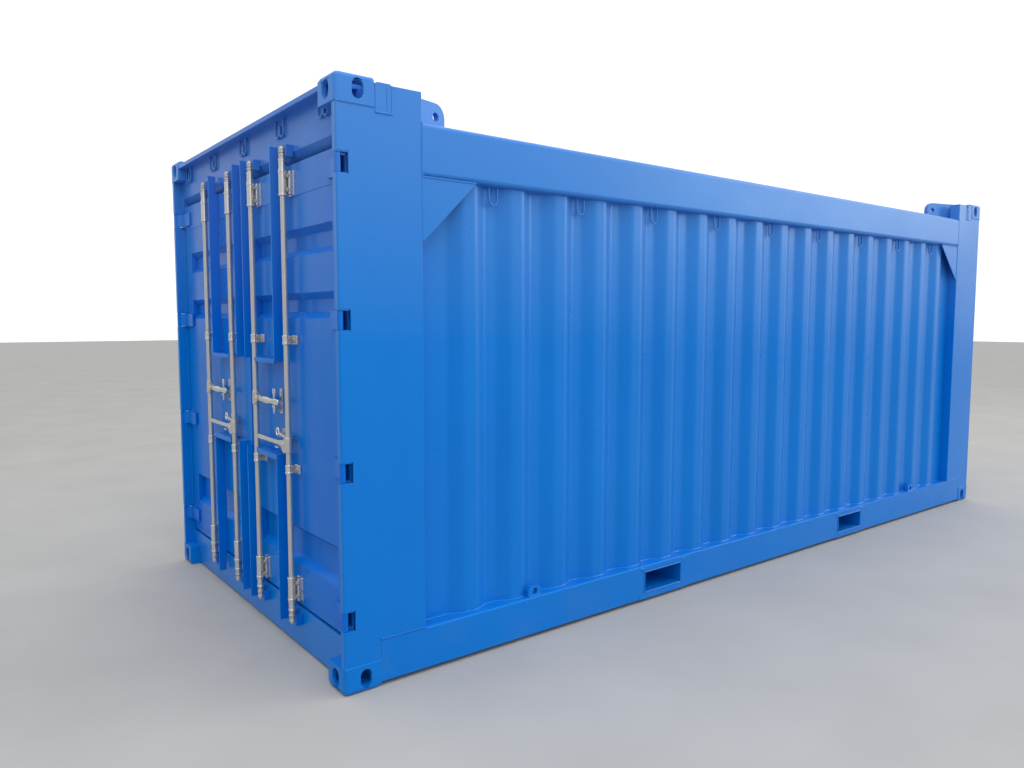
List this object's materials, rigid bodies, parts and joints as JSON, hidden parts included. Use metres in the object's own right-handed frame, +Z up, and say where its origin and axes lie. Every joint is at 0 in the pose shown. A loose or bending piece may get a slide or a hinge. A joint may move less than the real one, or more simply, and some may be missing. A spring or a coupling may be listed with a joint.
{
  "type": "open-top shipping container",
  "caption": "Blue steel open-top shipping container with corner castings, corrugated walls, sling eyes, forklift tunnels and hinged doors held by turning lock rods.",
  "frame": {"origin": "centre of the base, on the plane of the bottom castings' undersides", "axes": "+Z up, +X from the door end towards the closed end, +Y towards the side that holds the left door"},
  "size_m": [6.058, 2.438, 2.591],
  "materials": {
    "blue_paint": "gloss",
    "galvanised_steel": "satin",
    "door_rubber": "matte",
    "floor_wood": "matte"
  },
  "bodies": {
    "container": {"top_corner_castings": "blue_paint", "bottom_corner_castings": "blue_paint", "door_post_right": "blue_paint", "door_post_left": "blue_paint", "end_post_right": "blue_paint", "end_post_left": "blue_paint", "top_side_rails": "blue_paint", "bottom_side_rail_right": "blue_paint", "bottom_side_rail_left": "blue_paint", "forklift_tunnels": "blue_paint", "door_header": "blue_paint", "door_sill": "blue_paint", "end_top_rail": "blue_paint", "end_bottom_rail": "blue_paint", "side_wall_right": "blue_paint", "side_wall_left": "blue_paint", "end_wall": "blue_paint", "floor": "floor_wood", "cross_members": "blue_paint", "rail_gussets": "blue_paint", "pad_eyes": "blue_paint", "tarp_loops": "blue_paint", "roof_bows": "galvanised_steel", "hinge_pins": "blue_paint", "cam_keepers": "blue_paint"},
    "right_door": {"right_door_frame": "blue_paint", "right_door_panel": "blue_paint", "right_door_gasket": "door_rubber", "right_hinge_blades": "blue_paint", "right_rod_guards": "blue_paint", "right_lock_fittings": "galvanised_steel"},
    "right_outer_rod": {"right_outer_lock_rod": "galvanised_steel"},
    "right_outer_handle": {"right_outer_handle": "galvanised_steel"},
    "right_inner_rod": {"right_inner_lock_rod": "galvanised_steel"},
    "right_inner_handle": {"right_inner_handle": "galvanised_steel"},
    "left_door": {"left_door_frame": "blue_paint", "left_door_panel": "blue_paint", "left_door_gasket": "door_rubber", "left_hinge_blades": "blue_paint", "left_rod_guards": "blue_paint", "left_lock_fittings": "galvanised_steel"},
    "left_outer_rod": {"left_outer_lock_rod": "galvanised_steel"},
    "left_outer_handle": {"left_outer_handle": "galvanised_steel"},
    "left_inner_rod": {"left_inner_lock_rod": "galvanised_steel"},
    "left_inner_handle": {"left_inner_handle": "galvanised_steel"}
  },
  "joints": [
    {"name": "right_door_hinge", "type": "hinge", "parent": "container", "child": "right_door", "pos_m": [-3.012, -1.1975, 1.2775], "axis": [0, 0, 1], "range_deg": [0, 255]},
    {"name": "right_outer_rod_turn", "type": "hinge", "parent": "right_door", "child": "right_outer_rod", "pos_m": [-3.007, -0.606, 1.26], "axis": [0, 0, -1], "range_deg": [-110, 0]},
    {"name": "right_outer_handle_lift", "type": "hinge", "parent": "right_outer_rod", "child": "right_outer_handle", "pos_m": [-3.012, -0.568, 1.002], "axis": [-1, 0, 0], "range_deg": [-25, 0]},
    {"name": "right_inner_rod_turn", "type": "hinge", "parent": "right_door", "child": "right_inner_rod", "pos_m": [-3.007, -0.177, 1.26], "axis": [0, 0, 1], "range_deg": [-110, 0]},
    {"name": "right_inner_handle_lift", "type": "hinge", "parent": "right_inner_rod", "child": "right_inner_handle", "pos_m": [-3.012, -0.215, 1.198], "axis": [1, 0, 0], "range_deg": [-30, 0]},
    {"name": "left_door_hinge", "type": "hinge", "parent": "container", "child": "left_door", "pos_m": [-3.012, 1.1975, 1.2775], "axis": [0, 0, -1], "range_deg": [0, 255]},
    {"name": "left_outer_rod_turn", "type": "hinge", "parent": "left_door", "child": "left_outer_rod", "pos_m": [-3.007, 0.606, 1.26], "axis": [0, 0, 1], "range_deg": [-110, 0]},
    {"name": "left_outer_handle_lift", "type": "hinge", "parent": "left_outer_rod", "child": "left_outer_handle", "pos_m": [-3.012, 0.568, 1.198], "axis": [1, 0, 0], "range_deg": [-30, 0]},
    {"name": "left_inner_rod_turn", "type": "hinge", "parent": "left_door", "child": "left_inner_rod", "pos_m": [-3.007, 0.177, 1.26], "axis": [0, 0, -1], "range_deg": [-110, 0]},
    {"name": "left_inner_handle_lift", "type": "hinge", "parent": "left_inner_rod", "child": "left_inner_handle", "pos_m": [-3.012, 0.215, 1.002], "axis": [-1, 0, 0], "range_deg": [-25, 0]}
  ]
}
